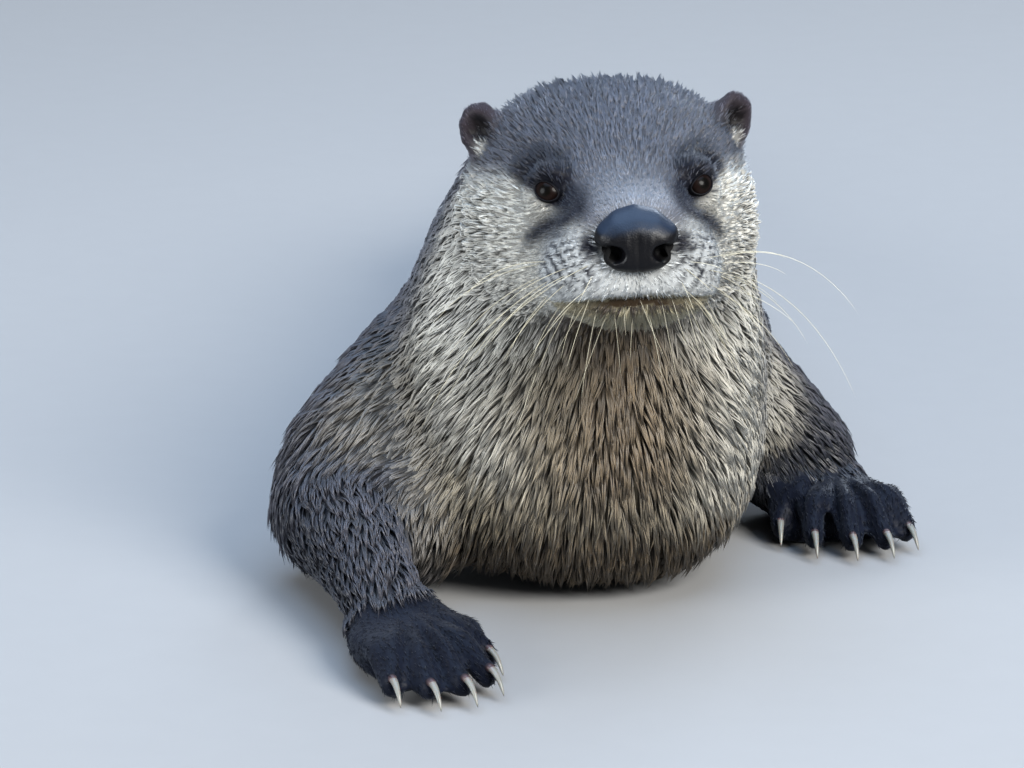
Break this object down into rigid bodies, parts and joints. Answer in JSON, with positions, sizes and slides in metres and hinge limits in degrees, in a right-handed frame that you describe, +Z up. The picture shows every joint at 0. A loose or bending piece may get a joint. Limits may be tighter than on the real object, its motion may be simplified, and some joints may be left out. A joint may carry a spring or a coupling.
{
  "type": "river otter",
  "caption": "Life-size river otter lying on its belly with head raised, right forepaw reaching ahead and left set beside the chest, with wet fur, claws and a long tapering tail.",
  "frame": {"origin": "middle of the bottom of the otter's box, on the floor", "axes": "+Z up, +Y from the nose towards the tail, +X the otter's left side"},
  "size_m": [0.2614, 1.0588, 0.2044],
  "materials": {
    "face_fur": "short wet fur, silvery on the cheeks and muzzle, brown on the crown",
    "chest_fur": "wet fur in pointed locks, grey-brown with pale tips",
    "back_fur": "wet dark brown fur with a cool sheen",
    "paw_fur": "very short black-brown fur, wet and glossy",
    "nose_skin": "bare black pad, finely grained and moist",
    "eye_surface": "dark brown eye, clear and wet",
    "claw_horn": "pale horn, pink at the root"
  },
  "bodies": {
    "root": {"head": "face_fur", "nose": "nose_skin", "ear_right": "back_fur", "eye_right": "eye_surface", "ear_left": "back_fur", "eye_left": "eye_surface", "neck": "chest_fur", "chest": "chest_fur", "loin": "back_fur", "rump": "back_fur", "tail_base": "back_fur", "tail_middle": "back_fur", "tail_tip": "back_fur", "upper_arm_right": "back_fur", "forearm_right": "back_fur", "forepaw_right": "paw_fur", "forepaw_right_claw_thumb": "claw_horn", "forepaw_right_claw_second": "claw_horn", "forepaw_right_claw_third": "claw_horn", "forepaw_right_claw_fourth": "claw_horn", "forepaw_right_claw_fifth": "claw_horn", "upper_arm_left": "back_fur", "forearm_left": "back_fur", "forepaw_left": "paw_fur", "forepaw_left_claw_thumb": "claw_horn", "forepaw_left_claw_second": "claw_horn", "forepaw_left_claw_third": "claw_horn", "forepaw_left_claw_fourth": "claw_horn", "forepaw_left_claw_fifth": "claw_horn", "thigh_right": "back_fur", "shank_right": "back_fur", "hindpaw_right": "paw_fur", "hindpaw_right_claw_thumb": "claw_horn", "hindpaw_right_claw_second": "claw_horn", "hindpaw_right_claw_third": "claw_horn", "hindpaw_right_claw_fourth": "claw_horn", "hindpaw_right_claw_fifth": "claw_horn", "thigh_left": "back_fur", "shank_left": "back_fur", "hindpaw_left": "paw_fur", "hindpaw_left_claw_thumb": "claw_horn", "hindpaw_left_claw_second": "claw_horn", "hindpaw_left_claw_third": "claw_horn", "hindpaw_left_claw_fourth": "claw_horn", "hindpaw_left_claw_fifth": "claw_horn"}
  },
  "joints": []
}
